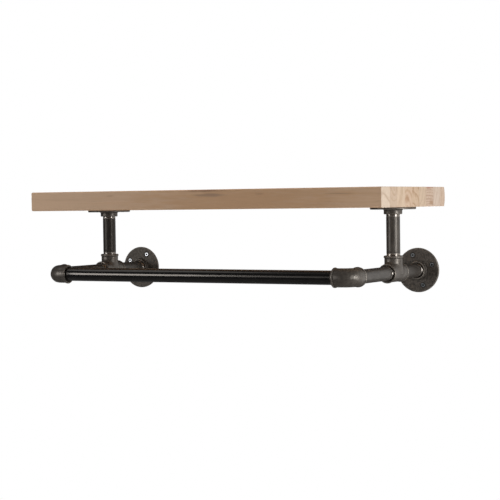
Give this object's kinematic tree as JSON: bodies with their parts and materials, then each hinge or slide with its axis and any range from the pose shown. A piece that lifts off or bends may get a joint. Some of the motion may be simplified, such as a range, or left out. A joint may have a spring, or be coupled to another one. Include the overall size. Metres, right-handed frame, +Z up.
{
  "type": "wall-mounted pipe shelf with hanging rail",
  "caption": "Wall shelf with a thick edge-glued wooden board carried on threaded iron pipe uprights, floor flanges, tees and elbows, with a black pipe rail in front for hangers.",
  "frame": {"origin": "on the wall plane, midway between the two wall flanges, at the height of the arms' axis", "axes": "+X along the board, +Y into the wall, +Z up"},
  "size_m": [0.774, 0.3631, 0.2093],
  "materials": {
    "stave_wood": "oiled, edge-glued staves",
    "pipe_steel": "dark mill-finish steel pipe",
    "cast_iron": "rough dark cast iron",
    "rail_black": "glossy black lacquer",
    "screw_steel": "bright zinc"
  },
  "bodies": {
    "root": {"board_stave_1": "stave_wood", "board_stave_2": "stave_wood", "board_stave_3": "stave_wood", "board_stave_4": "stave_wood", "board_stave_5": "stave_wood", "board_stave_6": "stave_wood", "board_stave_7": "stave_wood", "board_stave_8": "stave_wood", "board_stave_9": "stave_wood", "left_wall_nipple": "pipe_steel", "left_upright": "pipe_steel", "left_arm": "pipe_steel", "left_wall_flange": "cast_iron", "left_shelf_flange": "cast_iron", "left_tee": "cast_iron", "left_elbow": "cast_iron", "left_wall_screws": "screw_steel", "left_shelf_screws": "screw_steel", "right_wall_nipple": "pipe_steel", "right_upright": "pipe_steel", "right_arm": "pipe_steel", "right_wall_flange": "cast_iron", "right_shelf_flange": "cast_iron", "right_tee": "cast_iron", "right_elbow": "cast_iron", "right_wall_screws": "screw_steel", "right_shelf_screws": "screw_steel", "hanging_rail": "rail_black"}
  },
  "joints": []
}
